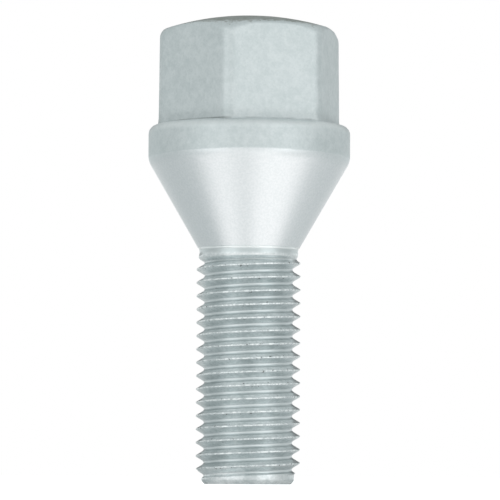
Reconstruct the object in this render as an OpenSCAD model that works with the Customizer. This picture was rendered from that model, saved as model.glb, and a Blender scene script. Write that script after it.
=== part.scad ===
// One-piece wheel bolt: hexagonal head with a domed top, round collar, conical seat and threaded shank.
// It is cold forged from one blank and its thread is rolled. It stands on its end, with its axis along Z.

/* [Thread] */
// Diameter over the crests, an M12 with a little taken off by its tolerance
thread_d = 11.86; // [11.6:0.02:12.6]
// Pitch of the thread
thread_pitch = 1.5; // [1.25:0.05:1.75]
// Included angle between the two flanks of a groove
flank_angle = 60; // [50:1:60]
// Depth of a groove from crest to root
thread_depth = 0.92; // [0.6:0.01:0.95]
// Width of the flat that rolling leaves on the crest
crest_w = 0.18; // [0.1:0.01:0.25]
// Angle round the bolt at which the crest starts from the height crest_z
crest_turn = 0; // [-180:5:180]
// Height of the crest above the end face, at that angle
crest_z = 0.9; // [0:0.05:1.45]
// How many turns the thread takes to fade into the plain neck
runout_turns = 0.9; // [0.5:0.1:2]

/* [Shank] */
// Length from the end face to the foot of the seat
shank_l = 26.3; // [20:0.1:60]
// Diameter of the blank, seen on the plain neck above the thread
neck_d = 11.12; // [10.9:0.02:11.4]
// Length of the neck that stays plain
neck_l = 0.3; // [0.2:0.1:6]
// Diameter of the flat end face
end_face_d = 9.4; // [8.6:0.1:9.8]
// Angle between the end chamfer and the end face
end_chamfer = 45; // [35:1:55]

/* [Seat and collar] */
// Included angle of the conical seat
seat_angle = 60; // [50:1:90]
// Diameter of the round collar above the seat
collar_d = 22.8; // [22.2:0.1:26]
// Height of the collar from the edge of the seat to its top
collar_h = 3.9; // [3:0.1:8]
// Radius of the collar's top edge
collar_top_r = 1; // [0.4:0.1:1.2]
// Radius of the turn from the collar into the seat
collar_seat_r = 2.4; // [0.4:0.1:2.8]
// Slope of the collar's top, which falls away from the hexagon
collar_slope = 8; // [4:1:15]

/* [Hexagon] */
// Width across the flats above the foot of the hexagon, for a 19 mm socket
hex_af = 18.8; // [18:0.1:19]
// Height from the collar's top to the crown of the dome
hex_h = 12.4; // [9:0.1:20]
// Forging draft of the flats
hex_draft = 0.5; // [0:0.1:1.5]
// Radius of the six upright corners
hex_corner_r = 2.5; // [1.5:0.1:3]
// Radius of the flare at the hexagon's foot
hex_foot_r = 1.5; // [0.8:0.1:2]
// Lean of that flare where it meets the collar, which leaves a crease
hex_foot_lean = 30; // [10:1:40]
// Turn of the hexagon round the axis, from a corner on +X
hex_turn = 14; // [-30:1:30]
// Radius of the domed top
dome_r = 30.7; // [22:0.1:60]
// Radius of the turn from the dome down to the corners
shoulder_r = 1.1; // [0.6:0.1:1.6]
// Angle of the cone that trims the corners just below that turn
shoulder_cone = 10; // [8:0.5:14]

/* [Hidden] */
steel = "#b9c4c5";

turn_steps = 48;     // facets in a turn of the thread
corner_steps = 8;    // facets on a corner of the hexagon
foot_steps = 4;      // levels in the flare at the hexagon's foot
round_facets = 96;
bury = 0.8;          // how far one part of the bolt runs on inside the next
shoulder_bite = 0.1; // how far the shoulder cuts into the corners

thread_r = thread_d / 2;
neck_r = neck_d / 2;
collar_r = collar_d / 2;
seat_half_angle = seat_angle / 2;
seat_top_z = shank_l + (collar_r - neck_r) / tan(seat_half_angle);
collar_top_z = seat_top_z + collar_h;
crown_z = collar_top_z + hex_h;
hex_foot_top_z = collar_top_z + hex_foot_r * sin(hex_foot_lean);

// One groove and one crest fill a pitch: root flat, flank, crest flat, flank
flank_h = thread_depth * tan(flank_angle / 2);
root_w = thread_pitch - crest_w - 2 * flank_h;
row_heights = [0, root_w, root_w + flank_h, root_w + flank_h + crest_w];
row_depths = [thread_depth, thread_depth, 0, 0];
rows = len(row_heights);
crest_mid = root_w + flank_h + crest_w / 2;

// The ribbon of rows starts two pitches below the end face and stops inside the seat
ribbon_start_z = crest_z - crest_mid - 2 * thread_pitch;
ribbon_steps = ceil((shank_l + bury + thread_pitch - ribbon_start_z) / thread_pitch) * turn_steps;
plain_z = shank_l - neck_l;
runout_h = runout_turns * thread_pitch;

// Share of the thread's full form at a height: 1 along the thread, 0 on the plain neck
function thread_share(z) = max(0, min(1, (plain_z - z) / runout_h));

function thread_point(step, row) =
    let (
        angle = crest_turn + 360 * step / turn_steps,
        z = ribbon_start_z + thread_pitch * step / turn_steps + row_heights[row],
        radius = neck_r + (thread_r - row_depths[row] - neck_r) * thread_share(z)
    )
    [radius * cos(angle), radius * sin(angle), z];

// The row after the last one is the first row of the next turn, so the ribbon closes on itself
function thread_index(step, row) = row < rows ? step * rows + row : (step + turn_steps) * rows;

// A long rod with the thread wound up it. Its two ends are cut away by shank().
module threaded_rod() {
    points = [for (step = [0 : ribbon_steps + turn_steps], row = [0 : rows - 1]) thread_point(step, row)];
    low_centre = len(points);
    high_centre = low_centre + 1;
    axis_points = [[0, 0, ribbon_start_z], [0, 0, points[low_centre - 1].z]];

    walls = [for (step = [0 : ribbon_steps - 1], row = [0 : rows - 1])
        let (
            a = thread_index(step, row),
            b = thread_index(step, row + 1),
            c = thread_index(step + 1, row + 1),
            d = thread_index(step + 1, row)
        )
        each [[a, b, c], [a, c, d]]];

    low_rim = concat(
        [for (step = [0 : turn_steps]) thread_index(step, 0)],
        [for (row = [rows - 1 : -1 : 0]) thread_index(0, row)]);
    high_rim = concat(
        [for (row = [0 : rows]) thread_index(ribbon_steps, row)],
        [for (step = [turn_steps - 1 : -1 : 0]) thread_index(ribbon_steps + step, 0)]);
    low_cap = [for (i = [0 : len(low_rim) - 2]) [low_centre, low_rim[i], low_rim[i + 1]]];
    high_cap = [for (i = [0 : len(high_rim) - 2]) [high_centre, high_rim[i], high_rim[i + 1]]];

    polyhedron(points = concat(points, axis_points), faces = concat(walls, low_cap, high_cap), convexity = 10);
}

// The rod is cut square at both ends and chamfered at the lower one
module shank() {
    end_face_r = end_face_d / 2;
    clear_r = thread_r + 1;
    intersection() {
        threaded_rod();
        rotate_extrude($fn = round_facets)
            polygon([
                [0, 0],
                [end_face_r, 0],
                [clear_r, (clear_r - end_face_r) * tan(end_chamfer)],
                [clear_r, shank_l + bury],
                [0, shank_l + bury]
            ]);
    }
}

// One outline turned about the axis: the cone, the collar's wall and its sloped top.
// The cone runs on inside the shank, so that it leaves the neck at a clean edge.
module seat_and_collar() {
    low_r = neck_r - bury;
    low_z = shank_l - bury / tan(seat_half_angle);
    seat_arc_x = collar_r - collar_seat_r;
    seat_arc_z = seat_top_z + collar_seat_r * tan(seat_half_angle / 2);
    top_arc_x = collar_r - collar_top_r;
    top_arc_z = collar_top_z - collar_top_r;
    slope_x = top_arc_x + collar_top_r * sin(collar_slope);
    slope_z = top_arc_z + collar_top_r * cos(collar_slope);
    rotate_extrude($fn = round_facets) {
        polygon([
            [0, low_z],
            [low_r, low_z],
            [seat_arc_x + collar_seat_r * cos(seat_half_angle), seat_arc_z - collar_seat_r * sin(seat_half_angle)],
            [seat_arc_x, seat_arc_z],
            [collar_r, seat_arc_z],
            [collar_r, top_arc_z],
            [top_arc_x, top_arc_z],
            [slope_x, slope_z],
            [0, slope_z + slope_x * tan(collar_slope)]
        ]);
        translate([seat_arc_x, seat_arc_z])
            circle(r = collar_seat_r, $fn = round_facets);
        translate([top_arc_x, top_arc_z])
            circle(r = collar_top_r, $fn = round_facets);
    }
}

// One level of the hexagon: its outline at a height, with the flats a distance out from the axis
function hex_ring(flat_x, z) =
    let (arc_x = (flat_x - hex_corner_r) / cos(30))
    [for (corner = [0 : 60 : 300], i = [0 : corner_steps])
        let (angle = corner - 30 + 60 * i / corner_steps)
        [
            arc_x * cos(corner) + hex_corner_r * cos(angle),
            arc_x * sin(corner) + hex_corner_r * sin(angle),
            z
        ]];

// How far out the drafted flats are at a height
function flat_x_at(z) = hex_af / 2 - (z - hex_foot_top_z) * tan(hex_draft);

// A solid through outlines that have the same number of points, from the lowest to the highest
module loft(rings) {
    n = len(rings[0]);
    last = len(rings) - 1;
    walls = [for (ring = [0 : last - 1], i = [0 : n - 1])
        let (j = (i + 1) % n)
        [ring * n + i, (ring + 1) * n + i, (ring + 1) * n + j, ring * n + j]];
    bottom = [for (i = [0 : n - 1]) i];
    top = [for (i = [n - 1 : -1 : 0]) last * n + i];
    polyhedron(points = [for (ring = rings) each ring], faces = concat(walls, [bottom, top]), convexity = 4);
}

// The drafted flats, with the flare at their foot
module hex_prism() {
    flat_x = hex_af / 2;
    foot_x = flat_x + hex_foot_r * (1 - cos(hex_foot_lean));
    foot_rings = [for (i = [0 : foot_steps])
        let (lean = hex_foot_lean * (1 - i / foot_steps))
        hex_ring(flat_x + hex_foot_r * (1 - cos(lean)), hex_foot_top_z - hex_foot_r * sin(lean))];
    loft(concat(
        [hex_ring(foot_x, collar_top_z - bury)],
        foot_rings,
        [hex_ring(flat_x_at(crown_z + bury), crown_z + bury)]
    ));
}

// The dome, the rounded shoulder round it and the cone below the shoulder, which trims the corners
module head_limit() {
    dome_z = crown_z - dome_r;
    corner_r = (flat_x_at(crown_z) - hex_corner_r) / cos(30) + hex_corner_r - shoulder_bite;
    arc_x = corner_r - shoulder_r;
    arc_angle = acos(arc_x / (dome_r - shoulder_r));
    arc_z = dome_z + (dome_r - shoulder_r) * sin(arc_angle);
    edge = [dome_r * cos(arc_angle), dome_z + dome_r * sin(arc_angle)];
    cone_top = [arc_x + shoulder_r * cos(shoulder_cone), arc_z - shoulder_r * sin(shoulder_cone)];
    cone_low_z = collar_top_z - 2 * bury;
    rotate_extrude($fn = round_facets) {
        polygon([
            [0, cone_low_z],
            [cone_top.x + (cone_top.y - cone_low_z) * tan(shoulder_cone), cone_low_z],
            cone_top,
            [arc_x, arc_z],
            edge,
            [0, edge.y]
        ]);
        translate([arc_x, arc_z])
            circle(r = shoulder_r, $fn = round_facets);
        intersection() {
            translate([0, dome_z])
                circle(r = dome_r, $fn = 4 * round_facets);
            polygon([[0, dome_z], [2 * edge.x, 2 * edge.y - dome_z], [0, crown_z + dome_r]]);
        }
    }
}

module hexagon() {
    rotate(hex_turn)
        intersection() {
            hex_prism();
            head_limit();
        }
}

module wheel_bolt() {
    color(steel) {
        shank();
        seat_and_collar();
        hexagon();
    }
}

wheel_bolt();
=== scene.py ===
import math
from functools import partialmethod
import bpy
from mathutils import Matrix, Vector


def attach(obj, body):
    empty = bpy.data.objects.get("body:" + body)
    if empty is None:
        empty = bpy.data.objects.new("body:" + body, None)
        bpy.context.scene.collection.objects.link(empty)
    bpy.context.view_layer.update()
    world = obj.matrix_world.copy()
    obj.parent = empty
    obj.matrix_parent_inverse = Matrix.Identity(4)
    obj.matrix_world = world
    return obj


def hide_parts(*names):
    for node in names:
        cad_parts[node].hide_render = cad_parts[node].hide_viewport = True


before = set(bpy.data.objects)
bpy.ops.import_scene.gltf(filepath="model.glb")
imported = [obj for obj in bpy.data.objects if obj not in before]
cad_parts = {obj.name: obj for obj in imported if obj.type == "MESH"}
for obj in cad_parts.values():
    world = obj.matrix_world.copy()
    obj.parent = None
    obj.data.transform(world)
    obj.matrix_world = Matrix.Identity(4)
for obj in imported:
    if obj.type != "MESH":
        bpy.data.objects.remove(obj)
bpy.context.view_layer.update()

mm = 0.001
full = 2 * math.pi
weldGap = 0.0008 * mm


# sRGB hex to the linear colour that a node takes
def linear(hexColour):
    parts = [int(hexColour[i:i + 2], 16) / 255 for i in (1, 3, 5)]
    return tuple(c / 12.92 if c <= 0.04045 else ((c + 0.055) / 1.055) ** 2.4 for c in parts) + (1.0,)


# an input takes a plain value, a field or another node's output
def addNode(tree, kind, inputs=None, **settings):
    node = tree.nodes.new(kind)
    for name, value in settings.items():
        setattr(node, name, value)
    for name, value in (inputs or {}).items():
        if isinstance(value, Field):
            value = value.socket
        if isinstance(value, bpy.types.NodeSocket):
            tree.links.new(value, node.inputs[name])
        else:
            node.inputs[name].default_value = value
    return node


# a number in a node tree, so that a shape's rule or a material's mask can be written as a sum
class Field:
    def __init__(self, tree, socket):
        self.tree = tree
        self.socket = socket

    def op(self, operation, *others):
        values = dict(enumerate((self,) + others))
        return Field(self.tree, addNode(self.tree, "ShaderNodeMath", values, operation=operation).outputs[0])

    __add__ = __radd__ = partialmethod(op, "ADD")
    __mul__ = __rmul__ = partialmethod(op, "MULTIPLY")
    __sub__ = partialmethod(op, "SUBTRACT")
    __truediv__ = partialmethod(op, "DIVIDE")
    sin = partialmethod(op, "SINE")
    cos = partialmethod(op, "COSINE")
    arctan2 = partialmethod(op, "ARCTAN2")
    sqrt = partialmethod(op, "SQRT")
    abs = partialmethod(op, "ABSOLUTE")
    fract = partialmethod(op, "FRACT")
    floor = partialmethod(op, "FLOOR")
    round = partialmethod(op, "ROUND")
    min = partialmethod(op, "MINIMUM")
    max = partialmethod(op, "MAXIMUM")
    softMin = partialmethod(op, "SMOOTH_MIN")
    softMax = partialmethod(op, "SMOOTH_MAX")
    below = partialmethod(op, "LESS_THAN")
    above = partialmethod(op, "GREATER_THAN")

    def __rsub__(self, other):
        return self * -1.0 + other

    def __rtruediv__(self, other):
        return self.op("POWER", -1.0) * other

    def clamp(self):
        return self.max(0.0).min(1.0)

    def ease(self):
        t = self.clamp()
        return t * t * (3.0 - 2.0 * t)

    # from 0 at start to 1 at end; end may lie below start
    def rise(self, start, end):
        return ((self - start) / (end - start)).ease()


# a Geometry Nodes tree with a named input for each size, and those inputs as fields
def newTree(name, sizes):
    tree = bpy.data.node_groups.new(name, "GeometryNodeTree")
    tree.interface.new_socket("Geometry", in_out="INPUT", socket_type="NodeSocketGeometry")
    for sizeName in sizes:
        tree.interface.new_socket(sizeName, in_out="INPUT", socket_type="NodeSocketFloat")
    tree.interface.new_socket("Geometry", in_out="OUTPUT", socket_type="NodeSocketGeometry")
    source = addNode(tree, "NodeGroupInput").outputs
    size = {sizeName: Field(tree, source[sizeName]) for sizeName in sizes}
    size["Geometry"] = source["Geometry"]
    return tree, size


# a flat grid whose points know their column and row number
def numberedGrid(tree, columns, rows):
    grid = addNode(tree, "GeometryNodeMeshGrid", {
        "Size X": float(columns), "Size Y": float(rows), "Vertices X": columns + 1, "Vertices Y": rows + 1})
    place = addNode(tree, "GeometryNodeInputPosition").outputs[0]
    split = addNode(tree, "ShaderNodeSeparateXYZ", {0: place})
    column = (Field(tree, split.outputs[0]) + columns / 2).round()
    row = (Field(tree, split.outputs[1]) + rows / 2).round()
    return grid.outputs["Mesh"], column, row


# moves the points of the flat grid out round the axis; the numbers that the material reads from them
# are stored before that, while the columns and rows can still be read
def placeRound(tree, mesh, radius, angle, height, stored):
    for name, value in stored.items():
        mesh = addNode(tree, "GeometryNodeStoreNamedAttribute", {
            "Geometry": mesh, "Name": name, "Value": value}, data_type="FLOAT", domain="POINT").outputs[0]
    spot = addNode(tree, "ShaderNodeCombineXYZ", {
        0: radius * angle.cos(), 1: radius * angle.sin(), 2: height}).outputs[0]
    return addNode(tree, "GeometryNodeSetPosition", {"Geometry": mesh, "Position": spot}).outputs[0]


# welds the points that fall together, then closes the tree
def closeTree(tree, mesh, material):
    mesh = addNode(tree, "GeometryNodeMergeByDistance", {"Geometry": mesh, "Distance": weldGap}).outputs[0]
    mesh = addNode(tree, "GeometryNodeRealizeInstances", {"Geometry": mesh}).outputs[0]
    mesh = addNode(tree, "GeometryNodeSetMaterial", {"Geometry": mesh, "Material": material}).outputs[0]
    addNode(tree, "NodeGroupOutput", {0: mesh})


# runs a tree on an object and keeps the plain mesh that it makes
def bake(obj, tree, sizes):
    modifier = obj.modifiers.new(tree.name, "NODES")
    modifier.node_group = tree
    for item in tree.interface.items_tree:
        if item.item_type == "SOCKET" and item.in_out == "INPUT" and item.name in sizes:
            modifier[item.identifier] = float(sizes[item.name])
    evaluated = obj.evaluated_get(bpy.context.evaluated_depsgraph_get())
    mesh = bpy.data.meshes.new_from_object(evaluated)
    obj.modifiers.remove(modifier)
    obj.data = mesh
    return obj


def newObject(name, data=None):
    obj = bpy.data.objects.new(name, data or bpy.data.meshes.new(name))
    bpy.context.scene.collection.objects.link(obj)
    return obj


# a material's tree and what its masks are made of: the place, noise patterns and stored numbers
def newMetal(name, patterns, stored):
    material = bpy.data.materials.new(name)
    material.use_nodes = True
    tree = material.node_tree
    tree.nodes.clear()
    place = addNode(tree, "ShaderNodeTexCoord").outputs["Object"]
    split = addNode(tree, "ShaderNodeSeparateXYZ", {0: place})
    field = {axis: Field(tree, split.outputs[axis]) for axis in ("X", "Z")}
    for key, (size, detail, roughness) in patterns.items():
        field[key] = Field(tree, addNode(tree, "ShaderNodeTexNoise", {
            "Vector": place, "Scale": 1 / size, "Detail": detail, "Roughness": roughness}).outputs[0])
    for key in stored:
        field[key] = Field(tree, addNode(tree, "ShaderNodeAttribute", attribute_name=key).outputs["Fac"])
    return material, tree, field


# lays coats over a first colour, each as far as its mask says; a colour is a hex code or a node's output
def layCoats(tree, tint, coats):
    for mask, coat in coats:
        under, over = [linear(colour) if isinstance(colour, str) else colour for colour in (tint, coat)]
        mixed = addNode(tree, "ShaderNodeMix", {"Factor": mask, "A": under, "B": over}, data_type="RGBA")
        tint = mixed.outputs["Result"]
    return tint


# gives the metal its shader; each relief is a height, its depth and its strength, laid on the one before
def closeMetal(tree, tint, roughness, reliefs):
    normal = {}
    for height, depth, strength in reliefs:
        bump = addNode(tree, "ShaderNodeBump", {
            "Height": height, "Distance": depth, "Strength": strength, **normal})
        normal = {"Normal": bump.outputs[0]}
    shader = addNode(tree, "ShaderNodeBsdfPrincipled", {
        "Base Color": tint, "Metallic": 1.0, "Roughness": roughness, **normal})
    addNode(tree, "ShaderNodeOutputMaterial", {"Surface": shader.outputs[0]})


# a span is where a coat begins and where it is full
headLook = {
    "forgedLow": "#c1cacb", "forgedHigh": "#d1d8d9", "pressedLow": "#d6dcde", "pressedHigh": "#dde2e4",
    "crownLow": "#8e948f", "crownHigh": "#a5aba8",
    # the bright ring and the lighter collar edge are painted highlights, the dark crease colour a painted
    # shadow
    "neck": "#d3dadb", "ring": "#f4f8f8", "rubbedAndSheen": "#e6ebeb", "creaseShadow": "#3c4341",
    "forgedRoughness": 0.56, "pressedRoughness": 0.33, "roughnessSpread": 0.1,
    # size, detail and roughness of each pattern: patches, the forging's mottle, and a grain that on real
    # plating is much finer than a pixel and is drawn 0.24 mm wide to show
    "patterns": {
        "cloud": (2.381 * mm, 2.0, 0.5), "mottle": (0.7143 * mm, 3.0, 0.6), "grain": (0.2381 * mm, 1.0, 0.5)},
    # parts of a pattern's range over which one tint turns into the other
    "toneSpan": (0.32, 0.68), "pressedToneSpan": (0.3, 0.7), "crownToneSpan": (0.35, 0.65),
    "border": 37.05 * mm,                       # the pressed cone ends here, on the turn into the collar
    "ragged": 0.25 * mm, "soft": 0.10 * mm,
    "collarRadius": 11.4 * mm,
    "sideDrop": 0.30 * mm,                      # towards the left and right sides the border is drawn lower and softer, a painted shade on the sides
    "sideSpan": (-1.3 * mm, -0.1 * mm), "sideLoss": 0.8,
    "neckSpan": (26.70 * mm, 26.58 * mm),
    # painted highlight ring where the neck meets the cone
    "ringFoot": (26.36 * mm, 26.42 * mm), "ringTop": (26.64 * mm, 26.58 * mm), "ringShare": (0.45, 0.6),
    # painted highlight on the collar's upper edge
    "sheenSpan": (39.2 * mm, 40.0 * mm), "sheenTop": 40.75 * mm, "sheenShare": 0.45,
    "crownSpan": (3.7, 4.5), "crownRagged": (3.2, 1.2),
    # painted shadow in the crease at the hexagon's foot: where it lies left and right, its share and its
    # patches
    "creaseShadowLeft": (-9.5 * mm, -6.5 * mm), "creaseShadowRight": (-1.5 * mm, -3.0 * mm), "creaseShadowShare": 0.40,
    "creaseShadowPatches": (0.45, 0.7), "patchShare": 0.3,
    "creaseSpan": (0.6, 1.0), "shadeSpan": (0.0, 0.5), "shadeShare": 0.10,
    "blister": (0.04 * mm, 0.4), "grainRelief": (0.012 * mm, 0.9),     # depth and strength
}


# zinc plate on forged steel: even silver grey with a soft mottle and no clear reflection,
# and a smoother satin with broad bright bands on the cone that the die presses
def headZinc():
    look = headLook
    material, tree, field = newMetal("zinc plate on forged steel", look["patterns"], ("crown", "crease"))
    cloud, mottle, grain = field["cloud"], field["mottle"], field["grain"]
    right, height, crease = field["X"], field["Z"], field["crease"]

    # painted shade: towards the left and right sides the pressed satin starts lower and its bright tint is
    # thinned
    side = right * right / (look["collarRadius"] * look["collarRadius"])
    past = (height + (mottle - 0.5) * look["ragged"] + side * look["sideDrop"]) - look["border"]
    pressed = past.rise(look["soft"], -look["soft"])
    pressed = pressed * (1.0 - side * past.rise(*look["sideSpan"]) * look["sideLoss"])
    forgedTone = (cloud * 0.25 + mottle * 0.5 + grain * 0.25).rise(*look["toneSpan"])
    pressedTone = grain.rise(*look["pressedToneSpan"])
    pressedSkin = layCoats(tree, look["pressedLow"], [(pressedTone, look["pressedHigh"])])

    # a painted highlight: a bright ring where the neck meets the cone
    even, broken = look["ringShare"]
    ring = height.rise(*look["ringFoot"]) * height.rise(*look["ringTop"]) * (even + mottle * broken)

    # the crown is darker, with a ragged edge
    coarse, fine = look["crownRagged"]
    crown = (field["crown"] + (mottle - 0.5) * coarse + (grain - 0.5) * fine).rise(*look["crownSpan"])
    crownTone = (cloud * 0.6 + mottle * 0.4).rise(*look["crownToneSpan"])
    crownSkin = layCoats(tree, look["crownLow"], [(crownTone, look["crownHigh"])])

    # a painted shadow darkens the crease at the hexagon's foot, most of it left of the middle, with a faint
    # painted shade above
    creaseShadow = right.rise(*look["creaseShadowLeft"]) * right.rise(*look["creaseShadowRight"]) * look["creaseShadowShare"]
    creaseShadow = (creaseShadow + cloud.rise(*look["creaseShadowPatches"]) * look["patchShare"]).min(1.0)
    creaseShadow = crease.rise(*look["creaseSpan"]) * creaseShadow + crease.rise(*look["shadeSpan"]) * look["shadeShare"]

    # the collar's upper edge is painted lighter, a painted highlight; the crease number is 0 on the collar
    # and never on the hexagon
    rubbedAndSheen = height.rise(*look["sheenSpan"]) * (1.0 - crease.above(0.0)) * height.below(look["sheenTop"])

    tint = layCoats(tree, look["forgedLow"], [
        (forgedTone, look["forgedHigh"]),
        (pressed, pressedSkin),
        (height.rise(*look["neckSpan"]), look["neck"]),
        (ring, look["ring"]),
        (crown, crownSkin),
        (creaseShadow, look["creaseShadow"]),
        (rubbedAndSheen * look["sheenShare"], look["rubbedAndSheen"])])
    smoother = look["pressedRoughness"] - look["forgedRoughness"]
    rough = look["forgedRoughness"] + (mottle - 0.5) * look["roughnessSpread"] + pressed * smoother
    reliefs = [(mottle * (1.0 - pressed), *look["blister"]), (grain, *look["grainRelief"])]
    closeMetal(tree, tint, rough, reliefs)
    return material


threadLook = {
    "low": "#ccd4d5", "high": "#e5eaeb", "dull": "#a8b1b2", "neck": "#c4cccd", "shadow": "#a9b2b3",
    "root": "#cdd5d6", "worn": "#cad2d3", "crest": "#ecf1f1", "pit": "#4a5050",
    "roughness": 0.36,
    # size, detail and roughness: dull patches, mottle, scuffs on the crests, and the grain, again drawn
    # wider than it is
    "patterns": {
        "cloud": (3.03 * mm, 2.0, 0.5), "mottle": (0.5882 * mm, 3.0, 0.6),
        "scuff": (0.3846 * mm, 2.0, 0.6), "grain": (0.2564 * mm, 1.0, 0.5)},
    "toneSpan": (0.32, 0.68), "dullSpan": (0.46, 0.66), "dullShare": 0.32,
    "neckSpan": (25.7 * mm, 26.1 * mm),
    # where a coat lies between the root at 0 and the crest at 1
    "rootSpan": (0.10, 0.03), "shadowFoot": (0.05, 0.14), "shadowTop": (0.42, 0.2), "shadowShare": 0.8,
    "facingSpan": (0.0, 0.3),                   # only the flank that faces up has the shadow
    "wornSpan": (0.86, 0.95), "pitSpan": (0.55, 0.75),
    "brightScuffs": (0.46, 0.60), "deepScuffs": (0.34, 0.28),
    "mottleRelief": (0.02 * mm, 0.3), "pitRelief": (0.05 * mm, 0.6),     # depth and strength
}


# zinc plate on the rolled thread: flanks greyer, crests scuffed bright and broken,
# roots burnished by the rolls
def threadZinc():
    look = threadLook
    material, tree, field = newMetal("zinc plate on the rolled thread", look["patterns"], ("crest", "facing"))
    mottle, scuff, crest = field["mottle"], field["scuff"], field["crest"]
    tone = (mottle * 0.55 + field["grain"] * 0.45).rise(*look["toneSpan"])
    # a thin dark line lies just below each root, on the flank that faces up
    shadow = field["facing"].rise(*look["facingSpan"]) * crest.rise(*look["shadowFoot"])
    shadow = shadow * crest.rise(*look["shadowTop"])
    worn = crest.rise(*look["wornSpan"])
    pit = crest.rise(*look["pitSpan"]) * scuff.rise(*look["deepScuffs"])
    tint = layCoats(tree, look["low"], [
        (tone, look["high"]),
        (field["cloud"].rise(*look["dullSpan"]) * look["dullShare"], look["dull"]),
        (field["Z"].rise(*look["neckSpan"]), look["neck"]),
        (shadow * look["shadowShare"], look["shadow"]),
        (crest.rise(*look["rootSpan"]), look["root"]),
        (worn, look["worn"]),
        (worn * scuff.rise(*look["brightScuffs"]), look["crest"]),
        (pit, look["pit"])])
    closeMetal(tree, tint, look["roughness"], [(mottle, *look["mottleRelief"]), (pit, *look["pitRelief"])])
    return material


forged = headZinc()
rolled = threadZinc()
print("materials made")


# threaded shank: a ribbon one pitch high is wound up the axis and closes on itself
threadSizes = {
    "Pitch": 1.5 * mm, "Crest Radius": 5.87 * mm, "Depth": 0.90 * mm,
    "Crest Width": 0.12 * mm, "Flank Height": 0.53 * mm, "Crest Height": 0.9 * mm,
    "Crest Softness": 0.10, "Root Softness": 0.40,                            # shares of a flank
    "Neck Radius": 5.56 * mm, "Top": 27.2 * mm,
    "Crests End": 26.2 * mm, "Crest Fade": 1.6 * mm,
    "Grooves Start": 0.2 * mm, "Grooves Full": 0.9 * mm, "Grooves End": 25.76 * mm, "Groove Fade": 0.9 * mm,
    "Rub Start": 0.95 * mm, "Rub Full": 1.30 * mm,                            # below it no crest is rubbed
    "End Radius": 4.85 * mm, "End Softness": 0.25 * mm,
    "Tip Radius": 5.22 * mm, "Tip Height": 1.1 * mm, "Tip Softness": 0.10 * mm,
    "Nick Depth": 0.05 * mm, "Nick Length": 0.65222 * mm,                       # length round the crest
}
threadRound, threadRows, threadTurns = 120, 26, 21     # points in a turn, rows in a pitch, turns
turnsBelow = 2.0                                       # the ribbon starts below the end face and is cut there
rowCrowding = 0.6
nickSpan = (0.56, 0.70)                                # where in the noise a nick begins and is full
nickReach = (0.0, 0.35)                                # how far down the flank it goes


def threadTree():
    tree, size = newTree("threaded shank", threadSizes)
    pitch, neck = size["Pitch"], size["Neck Radius"]
    mesh, column, row = numberedGrid(tree, threadTurns * threadRound, threadRows)
    turn = column / threadRound
    angle = turn.fract() * full
    # the rows crowd towards the crest and the root
    climb = row / threadRows
    fromCrest = climb - size["Crest Height"] / pitch
    climb = climb - (fromCrest * (2.0 * full)).sin() * (rowCrowding / (2.0 * full))
    height = ((turn + climb - turnsBelow) * pitch).max(0.0).min(size["Top"])

    # how far a point is from the nearest crest along the axis, and its drop from crest to root
    phase = ((height - size["Crest Height"]) / pitch - turn + 0.5).fract() - 0.5
    away = phase.abs() * pitch
    drop = (away - size["Crest Width"] / 2.0) / size["Flank Height"]
    drop = drop.softMax(0.0, size["Crest Softness"]).softMin(1.0, size["Root Softness"])
    crestShare = ((size["Crests End"] - height) / size["Crest Fade"]).ease()
    grooveShare = ((size["Grooves End"] - height) / size["Groove Fade"]).ease()
    grooveShare = grooveShare * height.rise(size["Grooves Start"], size["Grooves Full"])

    # the crests are nicked here and there
    spot = addNode(tree, "ShaderNodeCombineXYZ", {0: angle.cos(), 1: angle.sin(), 2: turn})
    noise = addNode(tree, "ShaderNodeTexNoise", {
        "Vector": spot.outputs[0], "Scale": size["Crest Radius"] / size["Nick Length"], "Detail": 2.0})
    nick = Field(tree, noise.outputs[0]).rise(*nickSpan) * (1.0 - drop.rise(*nickReach))

    radius = neck + (size["Crest Radius"] - neck) * (1.0 - drop) * crestShare
    radius = radius - (neck - size["Crest Radius"] + size["Depth"]) * drop * grooveShare
    radius = radius - size["Nick Depth"] * nick * crestShare
    # the thread runs out onto a short plain tip with a rounded edge
    tip = size["Tip Radius"] + (height - size["Tip Height"]).max(0.0)
    radius = radius.softMin(tip, size["Tip Softness"])
    radius = radius.softMin(size["End Radius"] + height, size["End Softness"])

    rubbedAndSheen = crestShare * height.rise(size["Rub Start"], size["Rub Full"])
    parts = [placeRound(tree, mesh, radius, angle, height, {
        "crest": (1.0 - drop) * rubbedAndSheen + 0.5 * (1.0 - rubbedAndSheen),      # 0 at the root, 1 at the crest
        "facing": (phase * full).sin() * grooveShare})]             # above 0 on the flank that faces up
    for at, spin, endRadius in ((0.0, math.pi, size["End Radius"]), (threadSizes["Top"], 0.0, neck)):
        disc = addNode(tree, "GeometryNodeMeshCircle", {
            "Vertices": threadRound, "Radius": endRadius}, fill_type="NGON").outputs[0]
        parts.append(addNode(tree, "GeometryNodeTransform", {
            "Geometry": disc, "Translation": (0, 0, at), "Rotation": (spin, 0, 0)}).outputs[0])
    joined = addNode(tree, "GeometryNodeJoinGeometry")
    for part in parts:
        tree.links.new(part, joined.inputs[0])
    closeTree(tree, joined.outputs[0], rolled)
    return tree


shank = bake(newObject("shankThread"), threadTree(), threadSizes)
print("thread wound", len(shank.data.polygons))


# seat and collar: one outline, its corners rounded, turned about the axis
seatRound = 144
cornerPoints = 12
# rows and the length of the outline in millimetres that they cover, closest where it bends
seatSteps = [(2, 5.53), (36, 0.80), (16, 10.4), (76, 7.6), (4, 12.0)]
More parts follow.
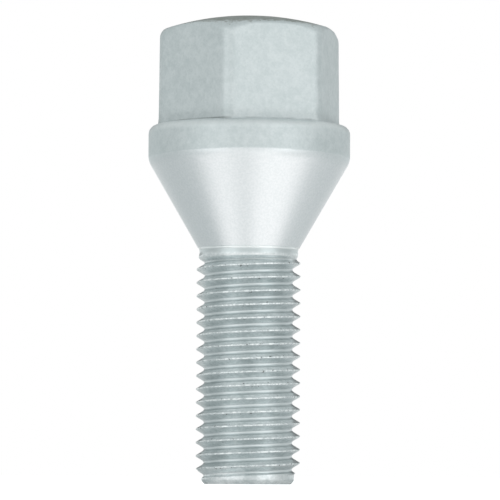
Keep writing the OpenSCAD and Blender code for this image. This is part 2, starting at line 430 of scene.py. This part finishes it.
# radius, height and corner rounding in millimetres, from the axis round to the axis:
# inside the neck, the rings where the neck meets the cone, the cone and collar, inside the head
seatOutline = [
    (0.0, 26.0, 0.0), (5.55, 26.0, 0.0),
    (5.552, 26.32, 0.02), (5.64, 26.43, 0.04), (5.60, 26.52, 0.03), (5.735, 26.60, 0.04),
    (11.4, 36.41, 2.4), (11.4, 40.3, 1.0),
    (8.5, 40.7, 0.0), (0.0, 40.7, 0.0),
]


def outlineMesh():
    mesh = bpy.data.meshes.new("seat outline")
    points = [(x * mm, 0, z * mm) for x, z, corner in seatOutline]
    mesh.from_pydata(points, [(i, i + 1) for i in range(len(points) - 1)], [])
    corners = mesh.attributes.new("corner", "FLOAT", "POINT")
    for i, (x, z, corner) in enumerate(seatOutline):
        corners.data[i].value = corner * mm
    return mesh


def seatTree():
    tree, size = newTree("seat and collar", {})
    line = addNode(tree, "GeometryNodeMeshToCurve", {"Mesh": size["Geometry"]}).outputs[0]
    corner = addNode(tree, "GeometryNodeInputNamedAttribute", {"Name": "corner"}, data_type="FLOAT")
    line = addNode(tree, "GeometryNodeFilletCurve", {
        "Curve": line, "Count": cornerPoints, "Radius": corner.outputs[0], "Limit Radius": True},
        mode="POLY").outputs[0]
    mesh, column, row = numberedGrid(tree, seatRound, sum(rows for rows, length in seatSteps))
    along, start = row * 0.0, 0
    for rows, length in seatSteps:
        along = along + ((row - start) / rows).clamp() * (length * mm)
        start += rows
    sample = addNode(tree, "GeometryNodeSampleCurve", {"Curves": line, "Length": along}, mode="LENGTH")
    split = addNode(tree, "ShaderNodeSeparateXYZ", {0: sample.outputs["Position"]})
    radius, height = Field(tree, split.outputs[0]), Field(tree, split.outputs[2])
    mesh = placeRound(tree, mesh, radius, (column / seatRound).fract() * full, height, {})
    closeTree(tree, mesh, forged)
    return tree


seat = bake(newObject("seatCollar", outlineMesh()), seatTree(), {})
print("seat turned", len(seat.data.polygons))


# hexagon: walls with rounded corners, then the turn over the shoulder, then the dome
hexSizes = {
    "Flat": 9.39 * mm, "Corner Radius": 1.6 * mm, "Draft": math.tan(math.radians(0.5)),
    "Foot": 39.9 * mm, "Flare Top": 41.4 * mm, "Flat Flare": 0.34 * mm, "Corner Flare": 0.16 * mm,
    "Crown": 52.81 * mm, "Dome Radius": 30.7 * mm, "Shoulder Drop": 2.0 * mm,
    "Flat Turn": 0.45 * mm, "Corner Turn": 1.25 * mm, "Spin": math.radians(17.0),
    "Swell": 0.06 * mm, "Swell Length": 3.846 * mm,
    "Crown Fade": 0.6 * mm,                              # how fast the crown's tint ends on the walls
    "Shade Top": 42.2 * mm, "Shade Foot": 40.6 * mm, "Crease Top": 40.76 * mm, "Crease Foot": 40.50 * mm,
}
hexRound, wallRows, turnRows, domeRows = 192, 40, 12, 26
halfSector = math.radians(30)
cornerReach = math.radians(16)                           # the wider turn at a corner ends this far from it
flareSpan = (0.12, 0.5)                                  # radians from a corner to the flat's full flare
cornerCrowding, footCrowding = 0.6, 0.45


def hexTree():
    tree, size = newTree("hexagonal head", hexSizes)
    mesh, column, row = numberedGrid(tree, hexRound, 1 + wallRows + turnRows + domeRows)

    # columns crowd towards the six corners; lean is the angle from the nearest corner
    sector = column / (hexRound / 6)
    across = (sector.fract() * 2.0) - 1.0
    lean = (across * (1 - cornerCrowding) + across * across.abs() * cornerCrowding) * halfSector
    turned = lean.abs()
    angle = lean + sector.floor() * (2 * halfSector) + size["Spin"]

    # how far out the hexagon's wall lies
    def outline(flat, corner):
        arcAt = (flat - corner) / math.cos(halfSector)
        straight = flat / (halfSector - turned).cos()
        side = arcAt * lean.sin()
        bend = arcAt * lean.cos() + (corner * corner - side * side).max(0.0).sqrt()
        # the arc ends where its own 30 degree point lies
        inside = (turned.sin() * (arcAt + corner * math.cos(halfSector))
                  - turned.cos() * corner * math.sin(halfSector)).below(0.0)
        return straight + (bend - straight) * inside

    foot, flareTop, crown, dome = size["Foot"], size["Flare Top"], size["Crown"], size["Dome Radius"]
    topFlat = size["Flat"] - (crown - size["Shoulder Drop"] - flareTop) * size["Draft"]
    turnRadius = (1.0 - turned / cornerReach).ease()
    turnRadius = size["Flat Turn"] + (size["Corner Turn"] - size["Flat Turn"]) * turnRadius
    arcX = outline(topFlat, size["Corner Radius"]) - turnRadius
    domeZ = crown - dome
    reach = dome - turnRadius
    arcUp = (reach * reach - arcX * arcX).sqrt()
    arcEnd = arcUp.arctan2(arcX)

    wallStep = ((row - 1.0) / wallRows).clamp()
    wallStep = wallStep * (1 - footCrowding) + wallStep * wallStep * footCrowding
    turnStep = ((row - 1.0 - wallRows) / turnRows).clamp()
    domeStep = ((row - 1.0 - wallRows - turnRows) / domeRows).clamp()

    wallZ = foot + (domeZ + arcUp - foot) * wallStep
    flare = ((flareTop - wallZ) / (flareTop - foot)).clamp()
    flareOut = size["Corner Flare"] + (size["Flat Flare"] - size["Corner Flare"]) * turned.rise(*flareSpan)
    wallFlat = size["Flat"] - (wallZ - flareTop).max(0.0) * size["Draft"] + flareOut * flare * flare
    wallX = outline(wallFlat, size["Corner Radius"])

    turnAngle = arcEnd * turnStep
    turnX = arcX + turnRadius * turnAngle.cos()
    turnZ = domeZ + arcUp + turnRadius * turnAngle.sin()
    domeX = dome * arcEnd.cos() * (1.0 - domeStep)
    domeHeight = domeZ + (dome * dome - domeX * domeX).sqrt()

    onWall = row.below(wallRows + 1.5)
    onDome = row.above(wallRows + turnRows + 1.5)
    radius = wallX * onWall + domeX * onDome + turnX * (1.0 - onWall - onDome)
    height = wallZ * onWall + domeHeight * onDome + turnZ * (1.0 - onWall - onDome)
    radius = radius * row.above(0.5)

    # crown is below 3 on the walls, rises to 4 over the shoulder and to 8 in the middle of the dome;
    # crease is 1 in the crease, falls upwards and stays a little above 0
    fromTop = (domeZ + arcUp - height).max(0.0) / size["Crown Fade"]
    shade = 0.5 * height.rise(size["Shade Top"], size["Shade Foot"])
    crease = shade + 0.5 * height.rise(size["Crease Top"], size["Crease Foot"]) + 0.01
    mesh = placeRound(tree, mesh, radius, angle, height, {
        "crown": 3.0 + turnStep + domeStep * 4.0 - fromTop, "crease": crease})

    # forging leaves the skin a few hundredths uneven
    place = addNode(tree, "GeometryNodeInputPosition").outputs[0]
    noise = addNode(tree, "ShaderNodeTexNoise", {
        "Vector": place, "Scale": 1.0 / size["Swell Length"], "Detail": 2.0}).outputs[0]
    amount = (Field(tree, noise) - 0.5) * size["Swell"]
    normal = addNode(tree, "GeometryNodeInputNormal").outputs[0]
    push = addNode(tree, "ShaderNodeVectorMath", {0: normal, "Scale": amount}, operation="SCALE").outputs[0]
    mesh = addNode(tree, "GeometryNodeMergeByDistance", {"Geometry": mesh, "Distance": weldGap}).outputs[0]
    mesh = addNode(tree, "GeometryNodeSetPosition", {"Geometry": mesh, "Offset": push}).outputs[0]
    closeTree(tree, mesh, forged)
    return tree


head = bake(newObject("hexHead"), hexTree(), hexSizes)
print("head shaped", len(head.data.polygons))


# the three join into the one bolt
bpy.ops.object.select_all(action="DESELECT")
for piece in (shank, seat, head):
    piece.select_set(True)
bpy.context.view_layer.objects.active = shank
bpy.ops.object.join()
bolt = shank
bolt.name = "wheelBolt"
for face in bolt.data.polygons:
    face.use_smooth = True
bolt.data.set_sharp_from_angle(angle=math.radians(40))
bolt.data.calc_loop_triangles()
print("bolt joined, triangles", len(bolt.data.loop_triangles))

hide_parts("wheel_bolt")
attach(bolt, "root")


# white floor: the camera sees it plain, and the metal sees pools of light on it, given by the direction
# from the bolt and the distance from it
floorLook = {
    "half": 1.5, "card": "#e8eaea", "seen": 0.62, "pool": "#fff5f3",
    "near": 0.09, "right": 0.06,                                        # all round, and more to the right
    "front": 0.59, "frontSpan": (-0.08, -0.60), "frontSkew": 0.11,      # brightest towards the softboxes
    "dip": 0.32, "dipSpan": (0.5, 0.0), "dipLeft": 0.12,                # less where the camera stands
    "sideLoss": 0.65, "sideSpan": (0.4, 0.85), "sideReach": (40 * mm, 110 * mm),    # less far to the sides
    "foot": 0.3, "footReach": (4 * mm, 18 * mm),                        # less close round the bolt's foot
    "back": 0.14, "backSpan": (0.3, 0.8), "backReach": (90 * mm, 280 * mm),         # a little far behind
}


def makeFloor():
    look = floorLook
    mesh = bpy.data.meshes.new("studioFloor")
    corners = [(x * look["half"], y * look["half"], 0) for x, y in ((-1, -1), (1, -1), (1, 1), (-1, 1))]
    mesh.from_pydata(corners, [], [(0, 1, 2, 3)])
    material = bpy.data.materials.new("white studio floor")
    material.use_nodes = True
    tree = material.node_tree
    tree.nodes.clear()
    place = addNode(tree, "ShaderNodeTexCoord").outputs["Object"]
    split = addNode(tree, "ShaderNodeSeparateXYZ", {0: place})
    x, y = Field(tree, split.outputs[0]), Field(tree, split.outputs[1])
    away = (x * x + y * y).sqrt().max(1 * mm)
    right, back = x / away, y / away

    pool = (back - right * look["frontSkew"]).rise(*look["frontSpan"]) * look["front"]
    pool = pool + right * look["right"] + look["near"]
    pool = pool - (right + look["dipLeft"]).abs().rise(*look["dipSpan"]) * back.below(0.0) * look["dip"]
    sideLoss = away.rise(*look["sideReach"]) * right.abs().rise(*look["sideSpan"]) * look["sideLoss"]
    pool = pool * (1.0 - sideLoss)
    pool = pool * (look["foot"] + away.rise(*look["footReach"]) * (1 - look["foot"]))
    pool = pool + away.rise(*look["backReach"]) * back.rise(*look["backSpan"]) * look["back"]

    rays = addNode(tree, "ShaderNodeLightPath").outputs
    seen = Field(tree, rays["Is Camera Ray"]) * look["seen"]
    mirrored = Field(tree, rays["Is Glossy Ray"]) * pool
    surface = addNode(tree, "ShaderNodeBsdfDiffuse", {"Color": linear(look["card"])}).outputs[0]
    for colour, strength in (("#ffffff", seen), (look["pool"], mirrored)):
        glow = addNode(tree, "ShaderNodeEmission", {"Color": linear(colour), "Strength": strength})
        surface = addNode(tree, "ShaderNodeAddShader", {0: surface, 1: glow.outputs[0]}).outputs[0]
    addNode(tree, "ShaderNodeOutputMaterial", {"Surface": surface})
    mesh.materials.append(material)
    return newObject("studioFloor", mesh)


floor = makeFloor()


# light tent with a darker top and a dark gap high at the back; the camera itself sees plain white
tentLook = {
    "tint": "#f7fafa", "sides": 0.75,
    "front": 1.0, "frontSpan": (0.1, -0.75), "back": 1.40, "backSpan": (0.3, 0.9),
    "top": 0.84, "topSpan": (0.25, 0.85),
    "gap": 0.12, "gapFoot": (0.03, 0.18), "gapTop": (0.68, 0.48), "gapSides": (0.64, 0.82),
}


def makeTent():
    look = tentLook
    world = bpy.data.worlds.new("white studio")
    world.use_nodes = True
    tree = world.node_tree
    tree.nodes.clear()
    direction = addNode(tree, "ShaderNodeTexCoord").outputs["Generated"]
    split = addNode(tree, "ShaderNodeSeparateXYZ", {0: direction})
    back, up = Field(tree, split.outputs[1]), Field(tree, split.outputs[2])
    tent = back.rise(*look["frontSpan"]) * (look["front"] - look["sides"]) + look["sides"]
    tent = tent + back.rise(*look["backSpan"]) * (look["back"] - look["sides"])
    tent = tent + (look["top"] - tent) * up.rise(*look["topSpan"])
    gap = up.rise(*look["gapFoot"]) * up.rise(*look["gapTop"]) * back.rise(*look["gapSides"])
    tent = tent + (look["gap"] - tent) * gap
    camera = addNode(tree, "ShaderNodeLightPath").outputs["Is Camera Ray"]
    white = addNode(tree, "ShaderNodeBackground", {"Color": (1, 1, 1, 1), "Strength": 1.0}).outputs[0]
    lit = addNode(tree, "ShaderNodeBackground", {"Color": linear(look["tint"]), "Strength": tent}).outputs[0]
    mixed = addNode(tree, "ShaderNodeMixShader", {0: camera, 1: lit, 2: white}).outputs[0]
    addNode(tree, "ShaderNodeOutputWorld", {"Surface": mixed})
    return world


bpy.context.scene.world = makeTent()


def standAt(obj, place, aim):
    obj.location = place
    obj.rotation_euler = (Vector(aim) - Vector(place)).to_track_quat("-Z", "Y").to_euler()


# two large softboxes, in front to the left and to the right: place in metres and power in watts
softboxes = {"softbox left": ((-0.30, -0.30, 0.14), 0.14), "softbox right": ((0.30, -0.28, 0.14), 0.17)}
softboxWide, softboxHigh = 0.26, 0.34
middle = (0, 0, 0.030)
for name, (place, power) in softboxes.items():
    lamp = bpy.data.lights.new(name, "AREA")
    lamp.shape = "RECTANGLE"
    lamp.size = softboxWide
    lamp.size_y = softboxHigh
    lamp.energy = power
    standAt(newObject(name, lamp), place, middle)

# the photo's camera: 440 mm away, its eye just above the floor
view = {"lens": 281, "place": (0.00014, -0.440, 0.0010), "aim": (0.00014, 0.0, 0.0264), "roll": 0.3}
camera = bpy.data.cameras.new("camera")
camera.sensor_width = 36
camera.lens = view["lens"]
cameraObject = newObject("camera", camera)
standAt(cameraObject, view["place"], view["aim"])
cameraObject.rotation_euler.rotate_axis("Z", math.radians(view["roll"]))
bpy.context.scene.camera = cameraObject
bpy.context.scene.view_settings.view_transform = "Standard"

print("stage set")
